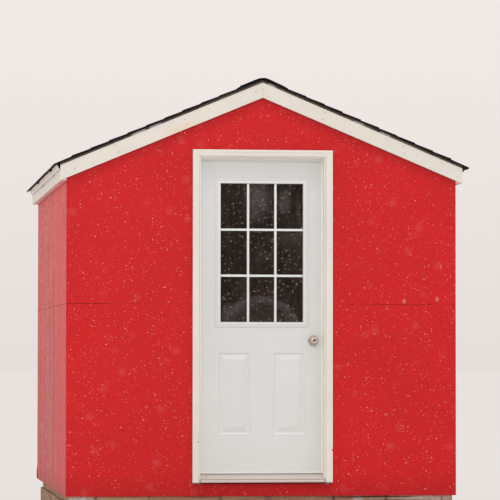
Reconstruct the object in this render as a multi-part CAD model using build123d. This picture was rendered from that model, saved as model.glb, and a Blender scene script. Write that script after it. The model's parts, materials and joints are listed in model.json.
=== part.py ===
from build123d import *
import math
import os

# Ice fishing hut on two timber skids.  Millimetres, +Z up, the door faces -Y.
# The origin lies on the ground, midway between the skids and the end walls.

# ---- driving sizes -------------------------------------------------------
frame_width = 2468          # across the stud frame, without the cladding
frame_depth = 3078          # front to back over the stud frame
wall_height = 1972          # floor to the underside of the roof at a side wall
wall_thickness = 100        # studs, insulation and inner lining
cladding = 16               # plywood sheet
sheet_height = 1219         # lower sheet, from the bottom edge of the cladding
sheet_gap = 3               # open joint between lower and upper sheets
cladding_lap = 78           # how far the cladding hangs below the floor surface

skid_width = 95
skid_height = 95
skid_inset = 8              # skid face behind the face of the stud frame
joist_height = 120
joist_width = 38
rim_inset = 25              # side rim behind the face of the stud frame
end_joist_inset = 6         # front joist's ends behind the face of the stud frame
joist_spaces = 9
floor_sheet = 18

roof_rise = 5
roof_run = 12
roof_frame_depth = 100      # rafters, insulation and lining, square to the slope
deck_sheet = 12
eave_space = 22             # side wall face to the back of the fascia
board = 19                  # fascia and rake boards
soffit_inset = 4            # soffit above the bottom edge of the fascia
rake_width = 89             # square to the slope

course = 127                # exposed length of one shingle course
shingle_thin = 12            # shingle build-up at the top of a course
shingle_thick = 18          # shingle build-up at the butt of a course
shingle_eave = 11           # shingle build-up at the eave, where one course starts
shingle_eave_lap = 38       # past the fascia
shingle_rake_lap = 14       # past the rake board
cap_width = 150             # each side of the ridge
cap_thickness = 5

drip_thickness = 2
drip_out = 22
drip_drop = 40

door_width = 812
door_height = 2012
door_thickness = 44.5
door_gap = 5                # clear all round between slab and jamb
jamb = 32
stop = 15                   # how far the stop stands out of the jamb
trim_width = 47
trim_thickness = 32
trim_lip = 5                # trim past the outer face of the jamb
trim_band = 14              # flat outer band of the moulding
trim_step = 4               # from the band down to the sloping face
trim_fillet = 3             # width of that step
trim_bead = 9               # rounded inner edge, seen as a chamfer
trim_bead_flat = 5
trim_slope_drop = 10        # lower end of the sloping face below the band
trim_bead_drop = 15         # inner edge below the band
sill_height = 57
sweep_height = 5
sweep_clearance = 6         # above the sill
sill_nose = 30              # sill past the cladding face
sill_nose_height = 30          # top of the nose above the floor
sill_nose_lift = 8             # underside of the nose above the floor
trim_lift = 8                  # foot of the door trim above the floor
sill_round = 4              # chamfers on the sill
sill_gap = 6                # sloping tread short of the door stop's inner face
sill_step = 10              # upright step behind the tread
sweep_inset = 8             # sweep behind each face of the slab

lite_width = 604
lite_height = 958
lite_over_knob = 81         # bottom edge of the lite frame above the knob's centre
lite_border = 37
lite_cut = 20               # slab cut-out inside the edge of the lite frame
lite_proud = 9
glass_thickness = 22

panel_width = 205
panel_height = 524
panel_gap = 148
panel_bottom = 242          # above the bottom of the slab
panel_depth = 7
panel_cove = 12             # width of the outer slope of the hollow
panel_groove = 5            # flat bottom of the hollow
panel_bevel = 30            # width of the slope up to the raised field
face_shift = 5              # lite and panels sit this far towards the latch

knob_backset = 70
knob_height = 842           # above the bottom of the slab
knob_radius = 26
knob_reach = 60             # from the slab's face to the end of the knob
neck_radius = 11
neck_length = 13            # from the rose to the swell of the knob
knob_fullness = 0.6         # below 1 the knob's sides grow flatter
rose_radius = 33.5
rose_thickness = 9
rose_edge = 4
rose_slope = 6              # width of the sloping border
rose_clearance = 0.5
spindle_overlap = 1

hinge_height = 102
hinge_leaf = 2
hinge_reach = 36
knuckle_radius = 6
pin_radius = 3
pin_clearance = 0.3
pin_offset = 8              # pin centre inside the inner face of the wall
leaf_gap = 1                # a leaf's edge short of the pin's centre
knuckles = 5
hinge_places = (190, 1006, 1822)   # hinge centres above the bottom of the slab

latch_height = 57
latch_width = 25
plate_thickness = 2

# ---- sizes worked out from them -----------------------------------------
pitch = roof_rise / roof_run
slope = math.atan(pitch)
plumb = 1 / math.cos(slope)

half_frame = frame_width / 2
half_body = half_frame + cladding
inner_x = half_frame - wall_thickness
frame_front = -frame_depth / 2
clad_front = frame_front - cladding
inner_front = frame_front + wall_thickness
rake_front = clad_front - board

joist_top = skid_height + joist_height
floor_top = joist_top + floor_sheet
clad_bottom = floor_top - cladding_lap
seam_bottom = clad_bottom + sheet_height - sheet_gap / 2
seam_top = seam_bottom + sheet_gap
plate_top = floor_top + wall_height

fascia_back = half_body + eave_space
fascia_face = fascia_back + board

slab_edge = door_width / 2
jamb_face = slab_edge + door_gap
jamb_back = jamb_face + jamb
stop_face = jamb_face - stop
trim_edge = jamb_back + trim_lip
slab_bottom = floor_top + sill_height + sweep_height + sweep_clearance
slab_top = slab_bottom + door_height
head_face = slab_top + door_gap
head_top = head_face + jamb
slab_inner = inner_front
slab_outer = slab_inner - door_thickness
stop_inner = slab_outer - door_gap
knob_x = slab_edge - knob_backset
knob_z = slab_bottom + knob_height
lite_centre_z = knob_z + lite_over_knob + lite_height / 2
pin_x = -(slab_edge + door_gap / 2)
pin_y = slab_inner + pin_offset


def roof_under(x):
    """Height of the underside of the roof frame at a distance x from the ridge."""
    return plate_top + (inner_x - abs(x)) * pitch


def deck_under(x):
    return roof_under(x) + roof_frame_depth * plumb


def deck_over(x):
    return deck_under(x) + deck_sheet * plumb


rake_plumb = rake_width * plumb
fascia_bottom = deck_under(fascia_face) - rake_plumb
soffit = fascia_bottom + soffit_inset


def block(x0, x1, y0, y1, z0, z1):
    size = (x1 - x0, y1 - y0, z1 - z0)
    centre = ((x0 + x1) / 2, (y0 + y1) / 2, (z0 + z1) / 2)
    return Pos(*centre) * Box(*size)


def xz_prism(points, y0, y1):
    """A closed outline in the XZ plane, pushed from y0 back to y1."""
    outline = Polyline(*[(x, y0, z) for x, z in points], close=True)
    return extrude(make_face(outline), y1 - y0, dir=(0, 1, 0))


def yz_prism(points, x0, x1):
    outline = Polyline(*[(x0, y, z) for y, z in points], close=True)
    return extrude(make_face(outline), x1 - x0, dir=(1, 0, 0))


def xy_prism(points, z0, z1):
    outline = Polyline(*[(x, y, z0) for x, y in points], close=True)
    return extrude(make_face(outline), z1 - z0, dir=(0, 0, 1))


def mirror_x(solid):
    return mirror(solid, about=Plane.YZ)


def mirror_y(solid):
    return mirror(solid, about=Plane.XZ)


def save(name, *pieces):
    solids = [solid for piece in pieces for solid in piece.solids()]
    shape = solids[0] if len(solids) == 1 else Compound(children=solids)
    export_step(shape, f"parts/{name}.step")


def save_pair(name, solid):
    """A piece of the left side and its mirror image on the right."""
    save(f"{name}_left", solid)
    save(f"{name}_right", mirror_x(solid))


# ---- base ----------------------------------------------------------------
def build_base():
    skid_face = half_frame - skid_inset
    rim_face = half_frame - rim_inset
    rim_back = rim_face - joist_width
    joist_end = frame_depth / 2

    skid = block(-skid_face, -skid_face + skid_width, frame_front, -frame_front, 0, skid_height)
    save_pair("skid", skid)

    inner_y = joist_end - joist_width
    rim = block(-rim_face, -rim_back, -inner_y, inner_y, skid_height, joist_top)
    save_pair("rim_joist", rim)

    joist_half_lengths = {0: half_frame - end_joist_inset, joist_spaces: rim_face}
    spacing = (frame_depth - joist_width) / joist_spaces
    joists = []
    for number in range(joist_spaces + 1):
        y0 = -joist_end + number * spacing
        end = joist_half_lengths.get(number, rim_back)
        joists.append(block(-end, end, y0, y0 + joist_width, skid_height, joist_top))
    save("floor_joists", *joists)

    floor = block(-half_frame, half_frame, frame_front, -frame_front, joist_top, floor_top)
    save("floor", floor)


# ---- walls ---------------------------------------------------------------
def gable_wall(x0, x1, z0):
    """Outline of an end wall between two places, up to the underside of the roof."""
    points = [(x0, z0), (x1, z0), (x1, roof_under(x1))]
    if x0 < 0 < x1:
        points.append((0, roof_under(0)))
    points.append((x0, roof_under(x0)))
    return points


def gable_sheet(x0, x1, z0):
    """Outline of end cladding, which runs up to the roof deck."""
    points = [(x0, z0), (x1, z0), (x1, deck_under(x1))]
    if x0 < 0 < x1:
        points.append((0, deck_under(0)))
    points.append((x0, deck_under(x0)))
    return points


def rectangle(x0, x1, z0, z1):
    return [(x0, z0), (x1, z0), (x1, z1), (x0, z1)]


def build_walls():
    side = block(-half_frame, -inner_x, frame_front, -frame_front, floor_top, plate_top)
    save("left_wall", side)
    save("right_wall", mirror_x(side))

    beside = xz_prism(gable_wall(-inner_x, -jamb_back, floor_top), frame_front, inner_front)
    save("front_wall_left", beside)
    save("front_wall_right", mirror_x(beside))
    over = xz_prism(gable_wall(-jamb_back, jamb_back, head_top), frame_front, inner_front)
    save("front_wall_over_door", over)
    back = xz_prism(gable_wall(-inner_x, inner_x, floor_top), -inner_front, -frame_front)
    save("back_wall", back)


def build_cladding():
    side_lower = block(-half_body, -half_frame, frame_front, -frame_front, clad_bottom, seam_bottom)
    side_upper = block(-half_body, -half_frame, frame_front, -frame_front, seam_top, soffit)
    save("left_cladding", side_lower, side_upper)
    save("right_cladding", mirror_x(side_lower), mirror_x(side_upper))

    lower = xz_prism(rectangle(-half_body, -jamb_back, clad_bottom, seam_bottom), clad_front, frame_front)
    upper = xz_prism(gable_sheet(-half_body, -jamb_back, seam_top), clad_front, frame_front)
    save("front_cladding_left", lower, upper)
    save("front_cladding_right", mirror_x(lower), mirror_x(upper))
    over = xz_prism(gable_sheet(-jamb_back, jamb_back, head_top), clad_front, frame_front)
    save("front_cladding_over_door", over)
    below = xz_prism(rectangle(-jamb_back, jamb_back, clad_bottom, floor_top), clad_front, frame_front)
    under_nose = rectangle(-stop_face, stop_face, floor_top, floor_top + sill_nose_lift)
    below += xz_prism(under_nose, clad_front, frame_front)
    save("front_cladding_below_door", below)

    back_lower = xz_prism(rectangle(-half_body, half_body, clad_bottom, seam_bottom), -frame_front, -clad_front)
    back_upper = xz_prism(gable_sheet(-half_body, half_body, seam_top), -frame_front, -clad_front)
    save("back_cladding", back_lower, back_upper)


# ---- roof ----------------------------------------------------------------
def build_roof():
    tail = [(0, roof_under(0)), (-inner_x, plate_top), (-half_frame, plate_top)]
    tail += [(-half_frame, soffit), (-fascia_back, soffit)]
    tail += [(-fascia_back, deck_under(fascia_back)), (0, deck_under(0))]
    save_pair("roof_frame", xz_prism(tail, frame_front, -frame_front))

    deck = [(0, deck_under(0)), (-fascia_face, deck_under(fascia_face))]
    deck += [(-fascia_face, deck_over(fascia_face)), (0, deck_over(0))]
    save_pair("roof_deck", xz_prism(deck, rake_front, -rake_front))

    fascia = [(-fascia_back, fascia_bottom), (-fascia_back, deck_under(fascia_back))]
    fascia += [(-fascia_face, deck_under(fascia_face)), (-fascia_face, fascia_bottom)]
    save_pair("fascia", xz_prism(fascia, clad_front, -clad_front))

    rake = [(0, deck_under(0)), (-fascia_face, deck_under(fascia_face))]
    rake += [(-fascia_face, fascia_bottom), (0, deck_under(0) - rake_plumb)]
    front_rake = xz_prism(rake, rake_front, clad_front)
    save_pair("front_rake", front_rake)
    save_pair("back_rake", mirror_y(front_rake))


def along_slope(distance, height):
    """A place on the left slope: distance down from the ridge, height off the deck."""
    x = -distance * math.cos(slope) - height * math.sin(slope)
    z = deck_over(0) - distance * math.sin(slope) + height * math.cos(slope)
    return (x, z)


def build_covering():
    length = (fascia_face + shingle_eave_lap) * plumb
    ridge_top = shingle_thin * math.tan(slope)
    outline = [(0, deck_over(0)), along_slope(length, 0)]
    butt = length
    thick = shingle_eave
    while butt > course:
        outline.append(along_slope(butt, thick))
        butt -= course
        thick = shingle_thick
        outline.append(along_slope(butt, shingle_thin))
    outline.append(along_slope(butt, thick))
    outline.append(along_slope(-ridge_top, shingle_thin))
    rake_edge = rake_front - shingle_rake_lap
    save_pair("shingles", xz_prism(outline, rake_edge, -rake_edge))

    cap_under = shingle_thick
    cap_over = shingle_thick + cap_thickness
    half_cap = [along_slope(-cap_under * math.tan(slope), cap_under), along_slope(cap_width, cap_under)]
    half_cap += [along_slope(cap_width, cap_over), along_slope(-cap_over * math.tan(slope), cap_over)]
    left = xz_prism(half_cap, rake_edge, -rake_edge)
    save("ridge_cap", left + mirror_x(left))

    face = -fascia_face
    nose = face - drip_out
    foot = deck_over(fascia_face) - drip_drop
    drip = [(face, deck_over(face)), (nose, deck_over(nose)), (face - drip_thickness, foot)]
    drip += [(face, foot), (face, foot + drip_thickness * 2)]
    inner_nose = nose + drip_thickness * 2
    drip += [(inner_nose, deck_over(inner_nose) - drip_thickness), (face, deck_over(face) - drip_thickness)]
    save_pair("drip_edge", xz_prism(drip, clad_front, -clad_front))


# ---- door frame ----------------------------------------------------------
def trim_section(along):
    """Moulding section: along runs from the opening outwards, depth off the cladding."""
    band = along - trim_band
    bead = trim_thickness - trim_bead_drop
    section = [(0, 0), (along, 0), (along, trim_thickness), (band, trim_thickness)]
    section += [(band - trim_fillet, trim_thickness - trim_step), (trim_bead, trim_thickness - trim_slope_drop)]
    section += [(trim_bead_flat, bead), (0, bead)]
    return section


def build_trim():
    inner = trim_edge - trim_width
    top_edge = head_top + trim_lip
    leg = [(-(inner + a), clad_front - d) for a, d in trim_section(trim_width)]
    leg = xy_prism(leg, floor_top + trim_lift, top_edge)
    over = top_edge - trim_width
    corner = [(-trim_edge, top_edge), (-inner, over), (-inner, top_edge)]
    mitre = xz_prism(corner, clad_front - trim_thickness, clad_front)
    leg -= mitre
    save_pair("door_trim", leg)

    head = [(clad_front - d, over + a) for a, d in trim_section(trim_width)]
    head = yz_prism(head, -trim_edge, trim_edge)
    mitred = [(-trim_edge, top_edge), (-inner, over), (inner, over), (trim_edge, top_edge)]
    head &= xz_prism(mitred, clad_front - trim_thickness, clad_front)
    save("door_trim_top", head)


def build_door_frame():
    full = block(-jamb_back, -jamb_face, clad_front, inner_front, floor_top, head_top)
    stop_bar = block(-jamb_face, -stop_face, clad_front, stop_inner, floor_top, head_face)
    leg = full + stop_bar
    left = leg
    for place in hinge_places:
        left -= leaf_plate(place, -jamb_face - hinge_leaf, -jamb_face)
    save("door_jamb_left", left)
    right = mirror_x(leg)
    right -= strike_plate()
    save("door_jamb_right", right)

    head = block(-jamb_face, jamb_face, clad_front, inner_front, head_face, head_top)
    head += block(-stop_face, stop_face, clad_front, stop_inner, head_face - stop, head_face)
    save("door_jamb_head", head)
    save("strike_plate", strike_plate())

    nose = clad_front - sill_nose
    cap_front = stop_inner - sill_gap
    top = floor_top + sill_height
    tread = floor_top + sill_nose_height
    under_nose = floor_top + sill_nose_lift
    section = [(frame_front, floor_top), (frame_front, under_nose), (nose, under_nose)]
    section += [(nose, tread - sill_round), (nose + sill_round, tread)]
    section += [(cap_front, top - sill_step), (cap_front, top - sill_round), (cap_front + sill_round, top)]
    section += [(stop_inner, top), (stop_inner, floor_top)]
    outer = yz_prism(section, -stop_face, stop_face)
    under_slab = block(-jamb_face, jamb_face, stop_inner, inner_front, floor_top, top)
    save("door_sill", outer + under_slab)


def leaf_plate(place, x0, x1):
    """One hinge leaf, flush in the jamb or in the edge of the slab."""
    middle = slab_bottom + place
    low = middle - hinge_height / 2
    return block(x0, x1, slab_inner - hinge_reach, slab_inner, low, low + hinge_height)


def strike_plate():
    middle = slab_bottom + knob_height
    centre_y = (slab_inner + slab_outer) / 2
    return block(jamb_face, jamb_face + plate_thickness, centre_y - latch_width / 2,
                 centre_y + latch_width / 2, middle - latch_height / 2, middle + latch_height / 2)


def latch_plate():
    centre_y = (slab_inner + slab_outer) / 2
    return block(slab_edge - plate_thickness, slab_edge, centre_y - latch_width / 2,
                 centre_y + latch_width / 2, knob_z - latch_height / 2, knob_z + latch_height / 2)


def knuckle(radius, z0, z1):
    return Pos(pin_x, pin_y, (z0 + z1) / 2) * Cylinder(radius, z1 - z0)


def build_hinges():
    knuckle_length = hinge_height / knuckles
    play = pin_clearance
    jamb_leaves = []
    door_leaves = []
    for place in hinge_places:
        low = slab_bottom + place - hinge_height / 2
        reach_y = pin_y - leaf_gap
        jamb_x = -jamb_face - hinge_leaf
        slab_x = -slab_edge
        fixed = leaf_plate(place, jamb_x, -jamb_face)
        moving = leaf_plate(place, slab_x, slab_x + hinge_leaf)
        for number in range(knuckles):
            z0 = low + number * knuckle_length
            z1 = z0 + knuckle_length
            if number % 2 == 0:
                fixed += block(jamb_x, -jamb_face, slab_inner, reach_y, z0, z1)
                fixed += knuckle(knuckle_radius, z0, z1)
            else:
                moving += block(slab_x, slab_x + hinge_leaf, slab_inner, reach_y, z0 + play, z1 - play)
                moving += knuckle(knuckle_radius, z0 + play, z1 - play)
        bored = moving - knuckle(pin_radius + pin_clearance, low, low + hinge_height)
        fixed += knuckle(pin_radius, low, low + hinge_height)
        jamb_leaves.append(fixed)
        door_leaves.append(bored)
    save("hinge_leaves_jamb", *jamb_leaves)
    save("hinge_leaves_door", *door_leaves)


# ---- door ----------------------------------------------------------------
def door_panel(centre_x, face_y, outward):
    """The hollow pressed round one raised panel, as a solid to cut from the slab."""
    centre = (centre_x, face_y, slab_bottom + panel_bottom + panel_height / 2)
    plane = Plane(origin=centre, x_dir=(1, 0, 0), z_dir=(0, -outward, 0))
    cove_angle = math.degrees(math.atan(panel_cove / panel_depth))
    bevel_angle = math.degrees(math.atan(panel_bevel / panel_depth))
    hollow = extrude(plane * Rectangle(panel_width, panel_height), panel_depth, taper=cove_angle)
    border = 2 * (panel_cove + panel_groove)
    base = Rectangle(panel_width - border, panel_height - border)
    field = extrude(plane.offset(panel_depth) * base, -panel_depth, taper=bevel_angle)
    return hollow - field


def lite_block(inset, y0, y1):
    """A block over the lite, a distance inside the edge of its frame."""
    half_w = lite_width / 2 - inset
    half_h = lite_height / 2 - inset
    x0 = face_shift - half_w
    x1 = face_shift + half_w
    return block(x0, x1, y0, y1, lite_centre_z - half_h, lite_centre_z + half_h)


def lite_moulding(face_y, outward):
    """A moulding on one face of the slab, with a lip that holds the glass."""
    flange = sorted((face_y, face_y + outward * lite_proud))
    lip = sorted((face_y, face_y - outward * (door_thickness - glass_thickness) / 2))
    solid = lite_block(0, *flange) + lite_block(lite_cut, *lip)
    return solid - lite_block(lite_border, lip[0] - lite_proud, lip[1] + lite_proud)


def build_door():
    slab = block(-slab_edge, slab_edge, slab_outer, slab_inner, slab_bottom, slab_top)
    slab -= lite_block(lite_cut, slab_outer, slab_inner)
    panel_x = (panel_width + panel_gap) / 2
    for centre_x in (face_shift - panel_x, face_shift + panel_x):
        slab -= door_panel(centre_x, slab_outer, -1)
        slab -= door_panel(centre_x, slab_inner, 1)
    for place in hinge_places:
        slab -= leaf_plate(place, -slab_edge, -slab_edge + hinge_leaf)
    slab -= latch_plate()
    middle_y = (slab_outer + slab_inner) / 2
    bore = Pos(knob_x, middle_y, knob_z) * Rot(90, 0, 0) * Cylinder(rose_radius - rose_slope, door_thickness)
    slab -= bore
    save("door_slab", slab)
    save("latch_plate", latch_plate())

    save("door_lite_frame", lite_moulding(slab_outer, -1), lite_moulding(slab_inner, 1))
    glass_y = middle_y - glass_thickness / 2
    save("door_glass", lite_block(lite_cut, glass_y, glass_y + glass_thickness))

    sweep_front = slab_outer + sweep_inset
    sweep_back = slab_inner - sweep_inset
    sweep = block(-slab_edge, slab_edge, sweep_front, sweep_back, slab_bottom - sweep_height, slab_bottom)
    save("door_sweep", sweep)


def turned(profile, face_y, outward):
    """A turned piece about the knob's axis: pairs of radius and distance off the slab."""
    points = [(knob_x + radius, face_y + outward * reach, knob_z) for radius, reach in profile]
    outline = make_face(Polyline(*points, close=True))
    axis = Axis((knob_x, face_y, knob_z), (0, 1, 0))
    return revolve(outline, axis)


def knob(face_y, outward):
    ball_start = rose_thickness + neck_length
    ball_middle = (ball_start + knob_reach) / 2
    half_length = (knob_reach - ball_start) / 2
    profile = [(0, rose_thickness), (neck_radius, rose_thickness), (neck_radius, ball_start)]
    steps = 8
    for number in range(1, steps + 1):
        angle = math.pi * number / steps
        radius = neck_radius + (knob_radius - neck_radius) * math.sin(angle) ** knob_fullness
        profile.append((radius, ball_middle - half_length * math.cos(angle)))
    profile.append((0, knob_reach))
    return turned(profile, face_y, outward)


def build_lock():
    hole = neck_radius + rose_clearance
    rose = [(hole, 0), (rose_radius, 0), (rose_radius, rose_edge)]
    rose += [(rose_radius - rose_slope, rose_thickness), (hole, rose_thickness)]
    outside = turned(rose, slab_outer, -1)
    inside = turned(rose, slab_inner, 1)
    save("knob_roses", outside, inside)

    spindle_length = door_thickness + 2 * (rose_thickness + spindle_overlap)
    middle_y = (slab_outer + slab_inner) / 2
    spindle = Pos(knob_x, middle_y, knob_z) * Rot(90, 0, 0) * Cylinder(neck_radius, spindle_length)
    save("door_knobs", knob(slab_outer, -1) + spindle + knob(slab_inner, 1))


os.makedirs("parts", exist_ok=True)
build_base()
build_walls()
build_cladding()
build_roof()
build_covering()
build_trim()
build_door_frame()
build_hinges()
build_door()
build_lock()
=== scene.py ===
import json
import math
import random

import bmesh
import bpy
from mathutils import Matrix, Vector

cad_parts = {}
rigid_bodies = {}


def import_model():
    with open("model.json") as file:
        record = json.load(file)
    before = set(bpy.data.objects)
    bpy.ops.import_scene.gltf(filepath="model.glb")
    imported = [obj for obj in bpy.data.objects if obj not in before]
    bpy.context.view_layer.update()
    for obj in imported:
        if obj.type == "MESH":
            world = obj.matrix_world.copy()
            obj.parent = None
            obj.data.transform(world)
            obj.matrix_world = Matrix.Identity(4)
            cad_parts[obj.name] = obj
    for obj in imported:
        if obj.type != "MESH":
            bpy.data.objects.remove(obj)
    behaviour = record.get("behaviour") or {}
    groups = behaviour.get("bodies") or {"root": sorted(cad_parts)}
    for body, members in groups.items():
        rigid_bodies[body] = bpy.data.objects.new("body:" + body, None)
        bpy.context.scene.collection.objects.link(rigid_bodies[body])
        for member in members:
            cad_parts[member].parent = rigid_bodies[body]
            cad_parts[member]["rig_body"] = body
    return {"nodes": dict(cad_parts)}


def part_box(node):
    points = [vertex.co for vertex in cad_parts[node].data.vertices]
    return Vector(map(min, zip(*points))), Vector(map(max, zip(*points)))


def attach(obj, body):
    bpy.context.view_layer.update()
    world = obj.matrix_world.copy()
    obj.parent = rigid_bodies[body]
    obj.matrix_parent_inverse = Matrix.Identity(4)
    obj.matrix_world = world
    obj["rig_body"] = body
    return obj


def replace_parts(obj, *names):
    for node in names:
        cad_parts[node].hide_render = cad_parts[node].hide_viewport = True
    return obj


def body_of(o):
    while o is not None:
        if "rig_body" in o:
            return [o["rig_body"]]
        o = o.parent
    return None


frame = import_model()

for name in ("Cube", "Light", "Camera"):
    if name in bpy.data.objects:
        bpy.data.objects.remove(bpy.data.objects[name])
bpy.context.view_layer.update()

MM = 0.001
chance = random.Random(8)

# ---- places read from the frame ------------------------------------------
rake_low, rake_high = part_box("front_rake_left")
deck_low, deck_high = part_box("roof_deck_left")
shingle_low, shingle_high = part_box("shingles_left")
drip_low, drip_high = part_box("drip_edge_left")
fascia_low, fascia_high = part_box("fascia_left")
body_low, body_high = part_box("front_cladding_left")
side_low, side_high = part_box("left_cladding")
joist_low, joist_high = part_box("floor_joists")
slab_low, slab_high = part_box("door_slab")
glass_low, glass_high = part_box("door_glass")
lite_low, lite_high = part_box("door_lite_frame")
trim_low, trim_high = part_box("door_trim_left")
sill_low, sill_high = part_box("door_sill")

eave = -deck_low.x
slope = math.atan2(rake_high.z - deck_low.z, eave)
rake_y = shingle_low.y
deck_drop = deck_high.z - rake_high.z
# The width of a rake board, measured upright.
RAKE_HEIGHT = 89 * MM / math.cos(slope)
FACES = ((slab_low.y, -1), (slab_high.y, 1))


# ---- colour and node trees -----------------------------------------------
def colour(red, green, blue):
    """An sRGB colour of 0 to 255 as linear RGBA."""
    channels = []
    for value in (red, green, blue):
        share = value / 255
        channels.append(share / 12.92 if share <= 0.04045 else ((share + 0.055) / 1.055) ** 2.4)
    return (*channels, 1)


def lighter(tone, step):
    """A tone with each channel raised by a step, or lowered by a negative one."""
    return [min(255, channel + step) for channel in tone]


class Nodes:
    """A node tree, with one short method for each kind of node used here."""

    def __init__(self, tree):
        self.tree = tree

    def node(self, kind, **settings):
        made = self.tree.nodes.new(kind)
        for key, value in settings.items():
            setattr(made, key, value)
        return made

    def link(self, start, end):
        self.tree.links.new(start, end)

    def fill(self, socket, value):
        """Gives a socket a constant or a link."""
        if isinstance(value, bpy.types.NodeSocket):
            self.link(value, socket)
        else:
            socket.default_value = value

    def ramp(self, value, low, high, start=0.0, end=1.0):
        """Rescales a value from low..high to start..end, and clamps it."""
        made = self.node("ShaderNodeMapRange")
        self.fill(made.inputs["Value"], value)
        made.inputs["From Min"].default_value = low
        made.inputs["From Max"].default_value = high
        made.inputs["To Min"].default_value = start
        made.inputs["To Max"].default_value = end
        return made.outputs["Result"]

    def maths(self, kind, first, second=0.0):
        made = self.node("ShaderNodeMath", operation=kind)
        self.fill(made.inputs[0], first)
        self.fill(made.inputs[1], second)
        return made.outputs[0]

    def times(self, first, second):
        return self.maths("MULTIPLY", first, second)

    def mix(self, share, first, second, blend="MIX"):
        made = self.node("ShaderNodeMix", data_type="RGBA", blend_type=blend)
        self.fill(made.inputs["Factor"], share)
        self.fill(made.inputs[6], first)
        self.fill(made.inputs[7], second)
        return made.outputs[2]

    def blend(self, share, first, second, output):
        """Sends a blend of two shaders to an output node."""
        made = self.node("ShaderNodeMixShader")
        self.link(share, made.inputs["Fac"])
        self.link(first.outputs[0], made.inputs[1])
        self.link(second.outputs[0], made.inputs[2])
        self.link(made.outputs[0], output.inputs["Surface"])

    def coordinates(self, kind):
        return self.node("ShaderNodeTexCoord").outputs[kind]

    def along(self, vector, letter):
        """The part of a vector along one axis."""
        split = self.node("ShaderNodeSeparateXYZ")
        self.link(vector, split.inputs["Vector"])
        return split.outputs[letter]


class Shader(Nodes):
    """A material on the object's own coordinates, whose base colour is built up in layers."""

    def __init__(self, name):
        self.material = bpy.data.materials.new(name)
        self.material.use_nodes = True
        super().__init__(self.material.node_tree)
        self.surface = self.tree.nodes["Principled BSDF"]
        self.place = self.coordinates("Object")

    def axis(self, letter):
        return self.along(self.place, letter)

    def facing_up(self):
        """The upward part of the surface's direction: 0 on a wall, negative where it overhangs."""
        return self.along(self.coordinates("Normal"), "Z")

    def mapped(self, scale, vector_type="POINT", **more):
        """The object's coordinates through a mapping."""
        mapping = self.node("ShaderNodeMapping", vector_type=vector_type)
        for key, value in {"Scale": scale, **more}.items():
            mapping.inputs[key].default_value = value
        self.link(self.place, mapping.inputs["Vector"])
        return mapping.outputs["Vector"]

    def noise(self, scale, stretch=(1, 1, 1), detail=4.0, rough=0.5, warp=0.0):
        made = self.node("ShaderNodeTexNoise")
        self.link(self.mapped(stretch), made.inputs["Vector"])
        made.inputs["Scale"].default_value = scale
        made.inputs["Detail"].default_value = detail
        made.inputs["Roughness"].default_value = rough
        made.inputs["Distortion"].default_value = warp
        return made.outputs["Fac"]

    def cells(self, scale, output="Distance", stretch=(1, 1, 1)):
        made = self.node("ShaderNodeTexVoronoi")
        self.link(self.mapped(stretch), made.inputs["Vector"])
        made.inputs["Scale"].default_value = scale
        return made.outputs[output]

    def specks(self, scale):
        """Distance to the nearest of many points spread over an upright wall or pane."""
        made = self.node("ShaderNodeTexVoronoi", voronoi_dimensions="2D")
        self.link(self.mapped((1, 1, 1), Rotation=(math.pi / 2, 0, 0)), made.inputs["Vector"])
        made.inputs["Scale"].default_value = scale
        return made.outputs["Distance"]

    def near(self, centre, size):
        """1 at a place on the object, falling to 0 at the size of an ellipsoid round it."""
        made = self.node("ShaderNodeTexGradient", gradient_type="SPHERICAL")
        self.link(self.mapped(size, "TEXTURE", Location=centre), made.inputs["Vector"])
        return made.outputs["Fac"]

    def ground(self, value, low, high, first, second):
        """Starts the base colour, from a first tone at low to a second one at high."""
        self.base = self.mix(self.ramp(value, low, high), colour(*first), colour(*second))

    def cover(self, share, tone):
        """Covers a share of the base colour with a tone."""
        self.base = self.mix(share, self.base, colour(*tone))

    def layer(self, value, low, high, share, tone):
        """Covers the base with a tone as a value goes from low to high, up to a share."""
        self.cover(self.ramp(value, low, high, 0.0, share), tone)

    def bump(self, height, distance, strength):
        made = self.node("ShaderNodeBump")
        made.inputs["Strength"].default_value = strength
        made.inputs["Distance"].default_value = distance
        self.fill(made.inputs["Height"], height)
        self.link(made.outputs["Normal"], self.surface.inputs["Normal"])

    def finish(self, roughness, **more):
        """Sends the base colour, the roughness and any other named inputs to the surface."""
        for key, value in {"Base_Color": self.base, "Roughness": roughness, **more}.items():
            self.fill(self.surface.inputs[key.replace("_", " ")], value)
        return self.material


# Stretches of noise that make grain run along one axis.
GRAIN = {"X": (0.04, 1, 1), "Y": (1, 0.04, 1), "Z": (1, 1, 0.04)}


# ---- materials -----------------------------------------------------------
def weather_bands(s, bands):
    """Upright bands of faded and of deeper paint, with flecks drawn out along the wall."""
    wide = s.noise(5, (1, 1, 0.2), detail=7, rough=0.7, warp=0.3)
    fine = s.noise(17, (1, 1, 0.16), detail=7, rough=0.75)
    flecks = s.noise(34, (1, 0.33, 1), detail=4, rough=0.75)
    s.layer(wide, 0.42, 0.66, bands, (228, 124, 112))
    s.layer(wide, 0.46, 0.30, bands * 0.8, (200, 66, 66))
    worn = s.times(s.ramp(fine, 0.52, 0.68), s.ramp(s.axis("Z"), 0.9, 2.0, 1.0, 0.35))
    s.cover(s.times(worn, bands * 1.1), (176, 30, 38))
    s.layer(fine, 0.46, 0.34, bands * 0.4, (214, 140, 126))
    s.layer(flecks, 0.51, 0.64, bands * 1.2, (232, 140, 128))
    s.layer(flecks, 0.47, 0.36, bands, (196, 48, 50))


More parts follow.
